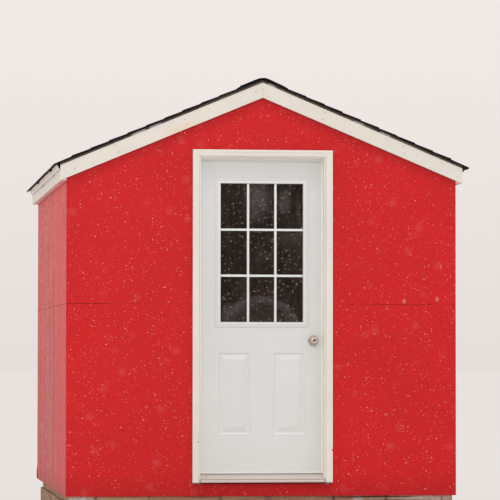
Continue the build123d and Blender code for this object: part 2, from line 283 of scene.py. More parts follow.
def paint_dust(s, mottle, drawn_out):
    """Pale specks in patches: drawn out along a side wall, or round and with frost elsewhere."""
    if drawn_out:
        patch = s.ramp(s.noise(7, detail=4), 0.40, 0.62, 0.25, 0.8)
        layers = [(s.cells(scale, stretch=(1, 0.6, 1)), 0.06, far, share)
                  for scale, far, share in ((22, 0.16, 0.8), (30, 0.18, 0.6))]
    else:
        frost = s.ramp(s.cells(7), 0.04, 0.26, 0.16, 0.0)
        s.cover(s.times(frost, s.ramp(mottle, 0.3, 0.6, 0.5, 1.0)), (240, 130, 124))
        patch = s.ramp(s.noise(11, detail=4, rough=0.7), 0.42, 0.60, 0.0, 1.0)
        layers = [(s.specks(13), 0.020, 0.052, 1.0), (s.specks(23), 0.028, 0.060, 0.6),
                  (s.cells(46), 0.08, 0.20, 0.4)]
    for points, near, far, share in layers:
        s.cover(s.times(s.ramp(points, near, far, share, 0.0), patch), (246, 182, 168))


def painted_rake_shadow(s):
    """Painted shadow just under the rake boards."""
    fall = s.times(s.maths("ABSOLUTE", s.axis("X")), math.tan(slope))
    foot = rake_low.z + abs(rake_low.x) * math.tan(slope)
    below = s.maths("SUBTRACT", s.maths("SUBTRACT", foot, fall), s.axis("Z"))
    s.cover(s.ramp(below, 0.0, 0.085, 0.42, 0.0), (132, 12, 18))


def red_paint(name, tone=(215, 32, 35), streaks=0.0, bands=0.0, gloss=0.15, smudges=(),
              stains=(), shade=(0.31, 0.15, 0.30), rake_shadowed=False):
    """Red paint on plywood: mottled, with pale specks, and with upright streaks where asked.

    shade is the two heights between which the paint grows darker, and how much."""
    s = Shader(name)
    mottle = s.noise(38, detail=6, rough=0.7)
    grain = s.noise(70, GRAIN["Z"], detail=5, rough=0.65, warp=0.4)
    deep = [channel * 0.95 for channel in tone]
    s.ground(s.noise(1.3, detail=6, rough=0.6), 0.35, 0.68, deep, tone)
    s.layer(mottle, 0.35, 0.65, 0.34, (tone[0] * 0.84, 16, 20))
    s.layer(mottle, 0.58, 0.76, 0.34, (230, 84, 78))
    if bands:
        weather_bands(s, bands)
    if streaks:
        s.layer(grain, 0.48, 0.68, streaks, (150, 18, 24))
    for centre, size, tint, share in stains:
        uneven = s.ramp(s.noise(11, (1, 1, 0.3), detail=5, rough=0.7), 0.35, 0.6, 0.2, 1.0)
        s.cover(s.times(s.ramp(s.near(centre, size), 0.0, 0.5, 0.0, share), uneven), tint)
    for place in smudges:
        blot = s.ramp(s.near(*place), 0.0, 0.7, 0.0, 0.4)
        s.cover(s.times(blot, s.ramp(mottle, 0.3, 0.6)), (240, 176, 166))
    paint_dust(s, mottle, drawn_out=bool(bands))
    s.layer(s.axis("Z"), *shade, (132, 16, 20))
    if rake_shadowed:
        painted_rake_shadow(s)
    s.bump(s.maths("ADD", s.ramp(grain, 0.3, 0.7), mottle), 0.0006, 0.35)
    return s.finish(s.ramp(mottle, 0.3, 0.7, 0.46, 0.60), Specular_IOR_Level=gloss)


def white_paint(name, along, stain=None, tone=(233, 226, 216)):
    """Off-white paint on a board, with faint grain, a little grime and maybe one warm stain."""
    s = Shader(name)
    grain = s.noise(90, GRAIN[along], detail=4, rough=0.6, warp=0.3)
    grime = s.noise(14, detail=7, rough=0.75)
    s.ground(s.noise(2.2, detail=6, rough=0.65), 0.3, 0.7, lighter(tone, -5), lighter(tone, 4))
    s.layer(grain, 0.56, 0.72, 0.04, (196, 184, 166))
    s.layer(grime, 0.62, 0.78, 0.10, (190, 178, 160))
    if stain:
        spot = s.times(s.near(*stain), s.ramp(s.noise(9, detail=4), 0.3, 0.55))
        s.layer(spot, 0.0, 0.5, 0.5, (240, 206, 178))
    s.bump(grain, 0.0006, 0.4)
    return s.finish(s.ramp(grime, 0.3, 0.7, 0.45, 0.6), Specular_IOR_Level=0.3)


def door_paint(name):
    """Smooth factory paint on steel, with faint scuffs and painted light and shade: lighter where it faces
    up, darker where it faces down, darker under the door head and towards both edges, and lighter along the
    hinge edge.
    """
    s = Shader(name)
    grain = s.noise(160, GRAIN["Z"], detail=4, rough=0.6, warp=0.5)
    scuff = s.noise(30, detail=6, rough=0.8)
    s.ground(s.noise(1.6, detail=5, rough=0.6), 0.3, 0.7, (219, 219, 216), (225, 225, 222))
    s.layer(scuff, 0.66, 0.8, 0.18, (186, 180, 172))
    # Painted shadow under the door head, eased off in the top few centimetres where the rendered contact
    # shade falls.
    top = slab_high.z
    rising = s.ramp(s.axis("Z"), top - 0.24, top - 0.06, 0.0, 0.40)
    falling = s.ramp(s.axis("Z"), top - 0.055, top - 0.036, 0.42, 0.06)
    s.cover(s.maths("MINIMUM", rising, falling), (190, 194, 190))
    # Painted light along the hinge edge, against the shadow of the jamb.
    s.layer(s.axis("X"), slab_low.x + 0.014, slab_low.x + 0.004, 0.5, (250, 248, 243))
    # Painted shade towards both edges, next to the reveals.
    for side, share in ((slab_low.x, 0.1), (slab_high.x, 0.25)):
        s.layer(s.axis("X"), side * 0.6, side, share, (192, 192, 188))
    # Painted light and shade by facing: lighter where the surface faces up, darker where it faces down.
    tilt = s.facing_up()
    s.layer(tilt, 0.0, 0.5, 0.45, (243, 243, 240))
    s.layer(tilt, 0.0, -0.5, 0.12, (190, 190, 187))
    s.bump(grain, 0.0003, 0.3)
    return s.finish(s.ramp(scuff, 0.3, 0.7, 0.38, 0.52), Specular_IOR_Level=0.3)


def moulding_plastic(name, tone):
    """Moulded plastic or soft strip, very slightly uneven."""
    s = Shader(name)
    broad = s.noise(5, detail=5)
    s.ground(broad, 0.3, 0.7, tone, lighter(tone, 5))
    s.bump(s.noise(900, detail=2), 0.0002, 0.3)
    return s.finish(s.ramp(broad, 0.3, 0.7, 0.36, 0.46), Specular_IOR_Level=0.3)


def dark_glass(name, hazes):
    """Clear glass with dust specks, wiped smears and hazy arcs, over a dark room."""
    s = Shader(name)
    smear = s.noise(5, (1, 1, 0.8), detail=5, rough=0.6, warp=1.5)
    patch = s.ramp(s.noise(9, detail=4, rough=0.7), 0.39, 0.51, 0.14, 1.0)
    specks = s.ramp(s.specks(24), 0.038, 0.068, 1.0, 0.0)
    specks = s.maths("MAXIMUM", specks, s.ramp(s.specks(37), 0.052, 0.082, 0.45, 0.0))
    specks = s.times(specks, patch)
    film = s.ramp(smear, 0.46, 0.80, 0.002, 0.035)
    haze = 0.0
    for centre, size, rim, share in hazes:
        spot = s.near(centre, size)
        ring = s.times(s.ramp(spot, 0.0, rim), s.ramp(spot, rim, rim * 4, share, share * 0.3))
        uneven = s.ramp(s.noise(13, detail=4, rough=0.7), 0.36, 0.60, 0.35, 1.0)
        haze = s.maths("MAXIMUM", haze, s.times(ring, uneven))
    dirt = s.maths("MAXIMUM", s.times(specks, 0.9), s.maths("MAXIMUM", film, haze))
    s.ground(haze, 0.0, 0.04, (204, 184, 168), (200, 190, 188))
    s.cover(specks, (255, 230, 200))
    s.bump(s.noise(2.5, detail=1), 0.002, 0.05)
    clear = s.maths("SUBTRACT", 1.0, dirt)
    return s.finish(s.ramp(smear, 0.45, 0.75, 0.02, 0.10), Transmission_Weight=clear, IOR=1.22)


def weathered_wood(name, along, light, dark, patches=()):
    """Bare grey-brown timber with grain, cracks, frost and wet patches."""
    s = Shader(name)
    stretch = GRAIN[along]
    grain = s.noise(60, stretch, detail=6, rough=0.7, warp=0.6)
    s.ground(grain, 0.35, 0.65, dark, light)
    s.layer(s.noise(16, stretch, detail=3, warp=1.2), 0.48, 0.62, 0.35, (96, 68, 54))
    s.layer(s.noise(3, detail=4), 0.5, 0.75, 0.5, (186, 170, 156))
    s.layer(s.noise(22, detail=7, rough=0.8), 0.60, 0.70, 0.5, (206, 200, 196))
    for centre, size, tint, share in patches:
        flaky = s.ramp(s.noise(45, detail=6, rough=0.75), 0.40, 0.58, 0.3, 1.0)
        s.cover(s.times(s.ramp(s.near(centre, size), 0.0, 0.4, 0.0, share), flaky), tint)
    split = s.ramp(s.noise(30, [axis * 0.6 for axis in stretch], detail=2, warp=0.2), 0.66, 0.70)
    s.cover(split, (52, 36, 28))
    s.bump(s.maths("SUBTRACT", grain, s.times(split, 1.5)), 0.003, 0.6)
    return s.finish(0.85, Specular_IOR_Level=0.2)


def plywood(name, along, light=(196, 164, 122), dark=(160, 124, 84)):
    """Bare plywood with a wavy grain."""
    s = Shader(name)
    grain = s.noise(26, GRAIN[along], detail=6, rough=0.6, warp=1.8)
    fine = s.noise(180, GRAIN[along], detail=3)
    s.ground(grain, 0.35, 0.65, dark, light)
    s.layer(fine, 0.5, 0.7, 0.3, (120, 88, 58))
    s.layer(s.noise(1.5, detail=4), 0.5, 0.75, 0.25, (140, 112, 80))
    s.bump(s.maths("ADD", grain, fine), 0.001, 0.4)
    return s.finish(0.7)


def deck_edge(name, frosted):
    """The sawn edge of the roof sheets: brown plies, with frost at a few places along it."""
    s = Shader(name)
    plies = s.noise(40, (0.2, 0.2, 6), detail=2)
    s.ground(plies, 0.4, 0.6, (80, 60, 52), (112, 88, 76))
    s.layer(s.noise(3, detail=5, rough=0.7), 0.50, 0.62, 0.6, (136, 112, 98))
    flaky = s.ramp(s.noise(60, detail=5, rough=0.7), 0.35, 0.55, 0.4, 1.0)
    for place in frosted:
        s.cover(s.times(s.ramp(s.near(*place), 0.0, 0.35, 0.0, 0.8), flaky), (190, 184, 178))
    s.bump(plies, 0.002, 0.6)
    return s.finish(0.85, Specular_IOR_Level=0.2)


def asphalt(name):
    """Black mineral grit with a little frost."""
    s = Shader(name)
    s.ground(s.noise(3.5, detail=6, rough=0.7), 0.35, 0.7, (22, 20, 22), (40, 37, 38))
    s.base = s.mix(0.25, s.base, s.cells(420, "Color"), "OVERLAY")
    s.layer(s.noise(9, detail=8, rough=0.8), 0.64, 0.76, 0.35, (150, 148, 146))
    s.bump(s.cells(300), 0.0015, 0.8)
    return s.finish(0.92, Specular_IOR_Level=0.15)


def metal(name, tone, roughness):
    """Metal with a few dull marks."""
    s = Shader(name)
    marks = s.noise(60, detail=6, rough=0.7)
    s.base = colour(*tone)
    s.layer(marks, 0.55, 0.75, 0.35, (120, 104, 86))
    s.bump(marks, 0.0003, 0.3)
    return s.finish(s.ramp(marks, 0.3, 0.7, roughness - 0.06, roughness + 0.1), Metallic=1.0)


def rubber(name, tone):
    """Dull rubber, vinyl or rust."""
    s = Shader(name)
    marks = s.noise(80, detail=5, rough=0.7)
    s.ground(marks, 0.4, 0.7, tone, lighter(tone, 20))
    s.bump(marks, 0.0004, 0.4)
    return s.finish(0.7, Specular_IOR_Level=0.2)


# ---- meshes --------------------------------------------------------------
def placed(name, data):
    """Adds an object with this data to the scene."""
    made = bpy.data.objects.new(name, data)
    bpy.context.scene.collection.objects.link(made)
    return made


def piece(name, bm, body, material, smooth=None):
    """A new visible piece from a bmesh, which rides on a CAD body."""
    bmesh.ops.recalc_face_normals(bm, faces=bm.faces[:])
    mesh = bpy.data.meshes.new(name)
    bm.to_mesh(mesh)
    bm.free()
    # Normals that came along from a CAD node would override the smoothing.
    copied = mesh.attributes.get("custom_normal")
    if copied:
        mesh.attributes.remove(copied)
    mesh.materials.append(material)
    if smooth is not None:
        mesh.shade_smooth()
        mesh.set_sharp_from_angle(angle=math.radians(smooth))
    made = placed(name, mesh)
    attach(made, body)
    return made


def soften(bm, width, segments=2):
    """Rounds the edges of a bmesh that turn by more than 25 degrees."""
    sharp = [e for e in bm.edges if e.is_manifold and e.calc_face_angle(0) > math.radians(25)]
    bmesh.ops.bevel(bm, geom=sharp, offset=width, segments=segments, affect="EDGES", profile=0.6,
                    clamp_overlap=True)


def dressed(node, material, width=1.5 * MM, segments=2, smooth=35):
    """A copy of a CAD node with softened edges, which stands for the node."""
    source = frame["nodes"][node]
    bm = bmesh.new()
    bm.from_mesh(source.data)
    bmesh.ops.remove_doubles(bm, verts=bm.verts[:], dist=1e-5)
    bmesh.ops.dissolve_limit(bm, angle_limit=math.radians(1), verts=bm.verts[:], edges=bm.edges[:])
    soften(bm, width, segments)
    made = piece(node + ".finished", bm, body_of(source)[0], material, smooth)
    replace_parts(made, node)


def add_box(bm, first, last):
    """Adds a box between any two opposite corners."""
    for vert in bmesh.ops.create_cube(bm, size=1.0)["verts"]:
        for k in range(3):
            vert.co[k] = (min if vert.co[k] < 0 else max)(first[k], last[k])


def join(bm, first, last):
    """Joins two loops of vertices with faces, or a loop with a single last vertex."""
    for k in range(len(first)):
        nxt = (k + 1) % len(first)
        far = (last[0],) if len(last) == 1 else (last[nxt], last[k])
        bm.faces.new((first[k], first[nxt], *far))


def add_run(bm, rows):
    """Adds a closed solid through rows of places, each a loop. The last may be a single place."""
    loops = [[bm.verts.new(place) for place in row] for row in rows]
    for first, last in zip(loops, loops[1:]):
        join(bm, first, last)
    bm.faces.new(list(reversed(loops[0])))
    if len(loops[-1]) > 1:
        bm.faces.new(loops[-1])


def circle(radius, sides):
    """Places round a circle, or its centre alone for a radius of 0."""
    angles = [2 * math.pi * k / sides for k in range(sides if radius else 1)]
    return [(radius * math.cos(a), radius * math.sin(a)) for a in angles]


# A low domed head: shares of its radius and of its height, from the foot up.
DOME = ((1.0, 0.0), (1.0, 0.45), (0.72, 0.85), (0.0, 1.0))


def add_disc(bm, centre, normal, radius, height, sides):
    """Adds a low domed head, such as a nail's, standing on a surface."""
    turn = Vector(normal).normalized().to_track_quat("Z", "Y")
    add_run(bm, [[Vector(centre) + turn @ Vector((u, v, height * rise))
                  for u, v in circle(radius * share, sides)] for share, rise in DOME])


def add_turned(bm, centre, outward, profile, sides=40):
    """Adds a piece turned about the Y axis, from pairs of radius and outward reach in mm."""
    x, y, z = centre
    add_run(bm, [[(x + u, y + outward * reach * MM, z + v) for u, v in circle(radius * MM, sides)]
                 for radius, reach in profile])


def add_frame(bm, low, high, y0, outward, profile):
    """Adds a mitred moulding round a rectangle in the XZ plane.

    The profile is a closed list of (distance inside the edge, height off y0) in mm."""
    loops = []
    for inset, rise in profile:
        x0, x1 = low.x + inset * MM, high.x - inset * MM
        z0, z1 = low.z + inset * MM, high.z - inset * MM
        y = y0 + outward * rise * MM
        corners = ((x0, y, z0), (x1, y, z0), (x1, y, z1), (x0, y, z1))
        loops.append([bm.verts.new(corner) for corner in corners])
    for first, last in zip(loops, loops[1:] + loops[:1]):
        join(bm, first, last)


# ---- roof ----------------------------------------------------------------
COURSE = 127 * MM
TAB = 305 * MM
TAB_GAP = 8 * MM
NARROWEST = 30 * MM
HIDDEN_LAP = 20 * MM
INSET = 4 * MM
THIN = 12 * MM
THICK = 18 * MM
EAVE_THICK = 11 * MM
CAP_HALF = 150 * MM
CAP_STEP = 143 * MM
CAP_LAP = 12 * MM
# How far from the ridge a cap's fold is rounded, and by how much it drops.
CAP_FOLD = 35.2 * MM
CAP_DROP = 5 * MM


def plumb_top(x):
    """Height of the top edge of a rake board at a distance from the ridge."""
    return deck_high.z - deck_drop - abs(x) * math.tan(slope)


def on_slope(side, down, height, y):
    """A place on one slope: down from the ridge, height off the deck. side is -1 or 1."""
    x = down * math.cos(slope) + height * math.sin(slope)
    z = deck_high.z - down * math.sin(slope) + height * math.cos(slope)
    return Vector((side * x, y, z))


def slope_prism(bm, side, outline, y0, y1):
    """A closed outline of (down, height) pushed along the ridge."""
    add_run(bm, [[on_slope(side, down, height, y) for down, height in outline] for y in (y0, y1)])


def shingle_slope(side, name, material):
    """The courses of one slope, on a thin slab that closes the space under them."""
    length = (-shingle_low.x - EAVE_THICK * math.sin(slope)) / math.cos(slope)
    bm = bmesh.new()
    under = 1.5 * MM
    foot = length - 12 * MM
    slab = [(INSET, 0), (foot, 0), (foot, EAVE_THICK - under - 2 * MM),
            (length - COURSE, THIN - under), (INSET, THIN - under)]
    slope_prism(bm, side, slab, rake_y + INSET, -rake_y - INSET)
    butt = length
    row = 0
    while butt > COURSE * 0.6:
        y = rake_y + (row % 2) * TAB / 2 - TAB
        while y < -rake_y:
            start = max(y + TAB_GAP / 2, rake_y + chance.uniform(0, 5) * MM)
            end = min(y + TAB - TAB_GAP / 2, -rake_y - chance.uniform(0, 5) * MM)
            y += TAB
            if end - start < NARROWEST:
                continue
            low_edge = butt - chance.uniform(0, 3.5) * MM
            top = (EAVE_THICK if row == 0 else THICK) - chance.uniform(0, 1.6) * MM
            hidden = max(butt - COURSE - HIDDEN_LAP, INSET)
            tab = [(low_edge, top - 5 * MM), (low_edge, top - 1 * MM), (low_edge - 2 * MM, top),
                   (hidden, THIN - 0.3 * MM), (hidden, THIN - 4 * MM)]
            slope_prism(bm, side, tab, start, end)
        butt -= COURSE
        row += 1
    made = piece(name + ".courses", bm, "hut", material)
    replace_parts(made, name)


def cap_end(half, height, y):
    """The outline of one end of a ridge shingle, folded over the ridge."""
    upper = []
    for share in (-1, -0.6, -0.2, -0.09, 0, 0.09, 0.2, 0.6, 1):
        side = -1 if share < 0 else 1
        down = abs(share) * half
        spot = on_slope(side, down, height, y)
        spot.z -= (max(0.0, 1 - down / CAP_FOLD) ** 2 + max(0, side) * share) * CAP_DROP
        upper.append(spot)
    return upper + [spot - Vector((0, 0, 3.2 * MM)) for spot in reversed(upper)]


def ridge_shingles(material):
    """Overlapping shingles folded over the ridge, each one rising towards its front end."""
    bm = bmesh.new()
    y = rake_y
    while y < -rake_y - NARROWEST:
        end = min(y + CAP_STEP + CAP_LAP, -rake_y)
        half = CAP_HALF - chance.uniform(0, 4) * MM
        add_run(bm, [cap_end(half, THICK + 4.8 * MM, y), cap_end(half, THICK + 2.4 * MM, end)])
        y += CAP_STEP
    made = piece("ridge_cap.shingles", bm, "hut", material, smooth=30)
    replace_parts(made, "ridge_cap")


def eave_felt(material):
    """Felt folded down over the ends of the eaves."""
    bm = bmesh.new()
    shape = [(0.5, 12), (27, 11), (14, -4), (7, -22), (1, -22)]
    for side in (-1, 1):
        for end in (-1, 1):
            ys = (end * (deck_high.y - 1 * MM), end * (deck_high.y - 14 * MM))
            add_run(bm, [[(side * (eave + a * MM), y, deck_low.z + b * MM) for a, b in shape]
                         for y in ys])
    piece("eave_felt", bm, "hut", material)


# Where felt droops over the drip edge: place along the eave, half width and depth.
DROOPS = ((-1.00, 0.11, 9 * MM), (0.44, 0.11, 9 * MM))


def eave_droops(material):
    """Tongues of felt that hang over the nose of each drip edge."""
    bm = bmesh.new()
    nose = abs(drip_low.x)
    top = deck_low.z + 4 * MM
    steps = 12
    for side in (-1, 1):
        for centre, half, deep in DROOPS:
            rows = []
            for k in range(steps + 1):
                share = 2 * k / steps - 1
                low = top - 4 * MM - deep * (0.5 + 0.5 * math.cos(math.pi * share))
                shape = ((0.5, top), (5, top), (4, low), (0.5, low))
                rows.append([(side * (nose + a * MM), centre + half * share, z) for a, z in shape])
            add_run(bm, rows)
    piece("eave_droops", bm, "hut", material, smooth=50)


def eave_waves(material):
    """The uneven lower edge of the eave shingles."""
    bm = bmesh.new()
    foot = shingle_low.z
    length = shingle_high.y - shingle_low.y - 2 * INSET
    steps = 60
    for side in (-1, 1):
        rows = []
        for k in range(steps + 1):
            y = shingle_low.y + INSET + length * k / steps
            low = foot - (2 + 1.6 * math.sin(y * 5.1) + chance.uniform(-0.6, 0.6)) * MM
            shape = ((34, foot + 24 * MM), (2, foot + 9 * MM), (0.5, low), (4, low), (9, foot + 6 * MM))
            rows.append([(side * (abs(shingle_low.x) - a * MM), y, z) for a, z in shape])
        add_run(bm, rows)
    piece("eave_shingle_edge", bm, "hut", material, smooth=50)


def drip_gaps(material):
    """Dark boxes that stand for the shadow in the narrow gap between the foot of each drip edge and its
    fascia.
    """
    bm = bmesh.new()
    low, high = drip_low, drip_high
    back = eave - 0.5 * MM
    for side in (-1, 1):
        y = low.y + 2 * MM
        while y < high.y - 0.05:
            end = min(y + chance.uniform(0.25, 0.6), high.y - 2 * MM)
            front = eave + chance.uniform(0.6, 1.8) * MM
            foot = low.z - chance.uniform(1.8, 3.4) * MM
            add_box(bm, (side * back, y, foot), (side * front, end, low.z - 0.1 * MM))
            y = end
        for y, half in ((-0.94, 0.05), (0.23, 0.09)):
            add_box(bm, (side * back, y - half, low.z - 7 * MM),
                    (side * (eave + 2.5 * MM), y + half, low.z - 0.1 * MM))
    piece("drip_edge_gaps", bm, "hut", material)


# Nails through the rake boards: distance from the ridge and share of the board's width.
LEFT_NAILS = ((0.499, 0.34), (0.486, 0.71), (0.940, 0.24), (0.921, 0.70), (1.20, 0.62), (0.045, 0.42))
RIGHT_NAILS = ((0.401, 0.20), (0.386, 0.72), (0.910, 0.19), (0.910, 0.68), (1.262, 0.70), (0.032, 0.76))


def rake_nails(material):
    """Nails through the rake boards, front and back."""
    bm = bmesh.new()
    for side, nails in ((-1, LEFT_NAILS), (1, RIGHT_NAILS)):
        for x, share in nails:
            for y, out in ((rake_low.y, -1), (-rake_low.y, 1)):
                spot = (side * x, y, plumb_top(x) - RAKE_HEIGHT * share)
                add_disc(bm, spot, (0, out, 0), 3.4 * MM, 0.7 * MM, 10)
    piece("rake_nails", bm, "hut", material, smooth=50)


def rake_mitre(material):
    """The fine open joint where the rake boards meet at the ridge."""
    bm = bmesh.new()
    top = plumb_top(0)
    for end in (-1, 1):
        face = end * abs(rake_low.y)
        for high, low, half in ((0.34, 0.54, 0.5 * MM), (0.68, 0.97, 0.6 * MM)):
            add_box(bm, (-half, face + end * 0.15 * MM, top - RAKE_HEIGHT * low),
                    (half, face - end * 1 * MM, top - RAKE_HEIGHT * high))
    piece("rake_mitre", bm, "hut", material)


# ---- door ----------------------------------------------------------------
LITE_BORDER = 38 * MM
# How far inside its edge the hidden back of the lite frame starts, in mm.
LITE_CUT = 20
SURROUND = [(0, 0), (0, 1.5), (1.5, 4), (5, 5.2), (8, 5.6), (27, 5.6), (29, 6.4), (31, 7.6), (34.6, 8)]
ROUNDED_LIP = [(34.6, 8), (35.6, 7.3), (36.3, 4.6), (36.5, 0)]
PANEL_BEAD = [(0, -0.5), (0, 0), (2.4, 1), (4.8, 1.7), (5.6, 1.6), (6, 1.2), (6, -2.6)]


def lite_frame(flat, lip):
    """The moulded frame of the glazing, with a rounded lip next to the glass in a lighter copy of the
    plastic: a painted highlight.
    """
    for name, profile, material in (("moulding", SURROUND, flat), ("lip", ROUNDED_LIP, lip)):
        bm = bmesh.new()
        for (face, outward), pane in zip(FACES, (glass_low.y, glass_high.y)):
            inner = profile[-1][0]
            if material is lip:
                depth = -abs(pane - face) / MM
                hidden = [(inner, depth), (LITE_CUT, depth), (LITE_CUT, 5)]
            else:
                hidden = [(inner, 4), (LITE_CUT, 4), (LITE_CUT, 0)]
            add_frame(bm, lite_low, lite_high, face, outward, profile + hidden)
        made = piece("door_lite_frame." + name, bm, "door", material, smooth=28)
        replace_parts(made, "door_lite_frame")


def window_bars(material):
    """The bars that divide the glazing into nine, on both sides of the glass."""
    x0, x1 = lite_low.x + LITE_BORDER, lite_high.x - LITE_BORDER
    z0, z1 = lite_low.z + LITE_BORDER, lite_high.z - LITE_BORDER
    half, deep, lap = 7.4 * MM, 8 * MM, 1 * MM
    bm = bmesh.new()
    for y0, y1 in ((glass_low.y - deep, glass_low.y), (glass_high.y, glass_high.y + deep)):
        for k in (1, 2):
            x = x0 + (x1 - x0) * k / 3
            add_box(bm, (x - half, y0, z0 - lap), (x + half, y1, z1 + lap))
            z = z0 + (z1 - z0) * k / 3
            add_box(bm, (x0 - lap, y0 + 0.2 * MM, z - half), (x1 + lap, y1 - 0.2 * MM, z + half))
    soften(bm, 2 * MM)
    piece("door_lite_bars", bm, "door", material, smooth=40)


def panel_beads(material):
    """A low raised bead round each pressed panel, on both faces of the door."""
    width, height, gap = 205 * MM, 524 * MM, 148 * MM
    bottom = slab_low.z + 242 * MM
    bead, top_lap = 6 * MM, 3.5 * MM
    bm = bmesh.new()
    for side in (-1, 1):
        centre = (lite_low.x + lite_high.x) / 2 + side * (width + gap) / 2
        low = Vector((centre - width / 2 - bead, 0, bottom - bead))
        high = Vector((centre + width / 2 + bead, 0, bottom + height + bead - top_lap))
        for face, outward in FACES:
            add_frame(bm, low, high, face, outward, PANEL_BEAD)
    piece("door_panel_beads", bm, "door", material, smooth=30)


def door_foot(material):
    """The folded white cover along the bottom of the door."""
    bm = bmesh.new()
    for face, outward in FACES:
        add_box(bm, (slab_low.x + MM, face + outward * 1.6 * MM, slab_low.z - 6.5 * MM),
                (slab_high.x - MM, face - outward * 0.4 * MM, slab_low.z + 6 * MM))
    soften(bm, 0.7 * MM)
    piece("door_foot_cover", bm, "door", material, smooth=40)


def weatherstrips(material, shaded):
    """Soft three-cornered strips between the stops and the face of the closed door; the upright ones in a
    paint made lighter as painted light against the shade of the corner, the one at the head in a shaded
    copy.
    """
    stop = -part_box("door_jamb_left")[1].x
    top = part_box("door_jamb_head")[0].z
    behind = 3 * MM
    y0, y1 = slab_low.y - 9 * MM, slab_low.y - 0.4 * MM
    upright = [(stop + behind, y0), (stop, y0), (stop - 6 * MM, y1), (stop + behind, y1)]
    across = [(y0, top + behind), (y0, top), (y1, top - 11 * MM), (y1, top + behind)]
    bm = bmesh.new()
    for side in (-1, 1):
        add_run(bm, [[(side * x, y, z) for x, y in upright] for z in (slab_low.z - 6 * MM, top + behind)])
    piece("door_weatherstrips", bm, "hut", material, smooth=20)
    bm = bmesh.new()
    add_run(bm, [[(x, y, z) for y, z in across] for x in (-stop, stop)])
    piece("door_head_strip", bm, "hut", shaded, smooth=20)


def sill_seal(material):
    """A soft strip on the sill, just under the closed door."""
    bm = bmesh.new()
    add_box(bm, (slab_low.x, slab_low.y + 3 * MM, sill_high.z),
            (slab_high.x, slab_low.y + 12 * MM, sill_high.z + 3 * MM))
    soften(bm, 1.2 * MM)
    piece("door_sill_seal", bm, "hut", material, smooth=40)


# Turned outlines on the knobs: pairs of radius and reach in mm.
KNOB_RINGS = [(18, -3), (18, 0.3), (16.4, 1.4), (13, 1.6), (10.5, 0.8), (9.2, -0.6), (0, -0.6)]
KEYHOLE = [(8.4, -1), (8.4, 0.5), (7.4, 1), (0, 1)]
BUTTON = [(5, -1), (5, 1.6), (4, 2.4), (0, 2.4)]


def knob_details(material, dark):
    """Turned rings, a keyhole outside, a button inside and the rose's screws."""
    low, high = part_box("door_knobs")
    rose_low, rose_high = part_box("knob_roses")
    x, z = (low.x + high.x) / 2, (low.z + high.z) / 2
    bm = bmesh.new()
    for face, outward in ((low.y, -1), (high.y, 1)):
        add_turned(bm, (x, face, z), outward, KNOB_RINGS)
    piece("door_knobs.rings", bm, "knob", material, smooth=40)
    bm = bmesh.new()
    add_turned(bm, (x, low.y + 0.4 * MM, z), -1, KEYHOLE, 24)
    add_turned(bm, (x, high.y - 0.4 * MM, z), 1, BUTTON, 24)
    piece("door_knobs.keyhole", bm, "knob", dark, smooth=40)
    bm = bmesh.new()
    for face, outward in ((rose_low.y, -1), (rose_high.y, 1)):
        for side in (-1, 1):
            spot = (x + side * 26.5 * MM, face - outward * 1.8 * MM, z + 1 * MM)
            add_disc(bm, spot, (0, outward, 0), 4.2 * MM, 2.2 * MM, 12)
    piece("knob_roses.screws", bm, "door", dark, smooth=40)


def hinge_screws(material):
    """Four flat screws in each hinge leaf, on the jamb and on the door's edge."""
    for name, body, x, out in (("hinge_screws.jamb", "hut", slab_low.x - 5 * MM, 1),
                               ("hinge_screws.door", "door", slab_low.x, -1)):
        bm = bmesh.new()
        for place in (190, 1006, 1822):
            for step, back in ((-36, 12), (-12, 24), (12, 12), (36, 24)):
                spot = (x, slab_high.y - back * MM, slab_low.z + (place + step) * MM)
                add_disc(bm, spot, (out, 0, 0), 3.6 * MM, 0.4 * MM, 12)
        piece(name, bm, body, material, smooth=50)


# ---- frame and sill round the door ---------------------------------------
# The moulding's outline in mm: distance out from its inner edge, and height off the wall.
BRICKMOULD = [(0, 0), (0, 7), (1.2, 9.4), (4.4, 13), (5.4, 19), (7.2, 21.8), (13, 23.6), (20, 25.8),
              (27, 27.2), (29.5, 27.5), (30, 28.8), (31.4, 31.2), (33, 32), (45.8, 32), (47, 30.8), (47, 0)]


def brickmould(upright, across):
    """The moulded frame round the door, mitred at its two top corners."""
    inner = -trim_high.x
    over = trim_high.z - (trim_high.x - trim_low.x)

    def outline(side, at_foot=False):
        return [(side * (inner + a * MM), trim_high.y - d * MM, trim_low.z if at_foot else over + a * MM)
                for a, d in BRICKMOULD]

    for side, node in ((-1, "door_trim_left"), (1, "door_trim_right")):
        bm = bmesh.new()
        add_run(bm, [outline(side, at_foot=True), outline(side)])
        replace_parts(piece(node + ".moulding", bm, "hut", upright, smooth=28), node)
    bm = bmesh.new()
    add_run(bm, [outline(-1), outline(1)])
    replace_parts(piece("door_trim_top.moulding", bm, "hut", across, smooth=28),
                "door_trim_top")


def trim_marks(rust, red):
    """A rusty nail head in the left leg of the frame and a red chip on the edge of the right one."""
    bm = bmesh.new()
    centre = (trim_high.x - 11.8 * MM, trim_high.y - 23.2 * MM, trim_low.z + 259 * MM)
    add_disc(bm, centre, (0, -1, 0), 5.4 * MM, 1.2 * MM, 12)
    piece("door_trim_left.nail", bm, "hut", rust, smooth=50)
    bm = bmesh.new()
    edge_x, chip_z = -trim_low.x, trim_low.z + 205 * MM
    add_box(bm, (edge_x - 6 * MM, trim_low.y - 0.3 * MM, chip_z - 5 * MM),
            (edge_x + 0.3 * MM, trim_high.y - 25 * MM, chip_z + 5 * MM))
    piece("door_trim_right.chip", bm, "hut", red)


